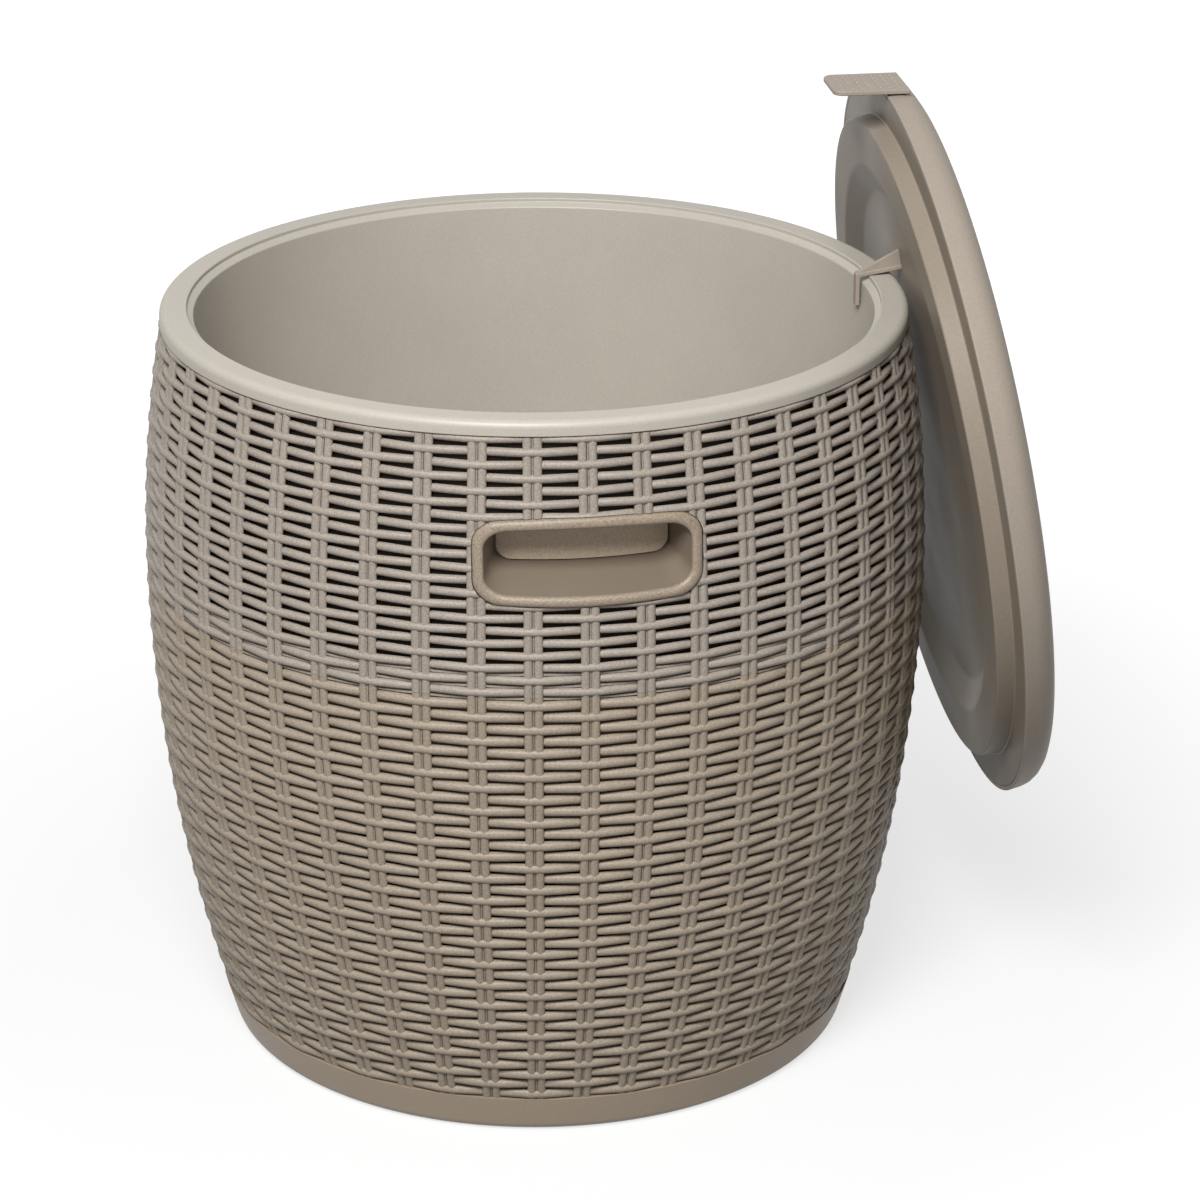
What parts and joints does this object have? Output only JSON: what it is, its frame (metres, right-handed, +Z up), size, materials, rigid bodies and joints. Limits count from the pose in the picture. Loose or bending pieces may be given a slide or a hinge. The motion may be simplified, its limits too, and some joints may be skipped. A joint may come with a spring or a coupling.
{
  "type": "ice bucket coffee table",
  "caption": "Barrel-shaped ice bucket side table with a wicker-look plastic wall, an inner bucket, finger cups and a round table-top lid that hangs on the rim by its hook.",
  "frame": {"origin": "centre of the flat face that the bucket stands on, on the bucket's axis", "axes": "+Z up along the bucket's axis; -Y towards the front finger cup; +X towards the side where the lid hangs"},
  "size_m": [0.4827, 0.4269, 0.5188],
  "materials": {
    "woven_wall": "satin moulded plastic in a warm greige, wicker relief",
    "smooth_wall": "fine-grained moulded plastic in a warm greige",
    "lid_plastic": "fine-grained moulded plastic in a warm greige",
    "screw_steel": "plain steel"
  },
  "bodies": {
    "bucket": {"lower_shell": "woven_wall", "upper_shell": "woven_wall", "base_plate": "smooth_wall", "inner_bucket": "smooth_wall", "tie_screws": "screw_steel", "handle_cup_front": "smooth_wall", "handle_cup_back": "smooth_wall"},
    "lid": {"lid_top": "lid_plastic", "lid_pan": "lid_plastic", "lid_hook": "lid_plastic", "lid_grip_tab": "lid_plastic"}
  },
  "joints": [
    {"name": "lid_lift", "type": "slide", "parent": "bucket", "child": "lid", "axis": [0, 0, 1], "range_m": [0, 0.32]}
  ]
}
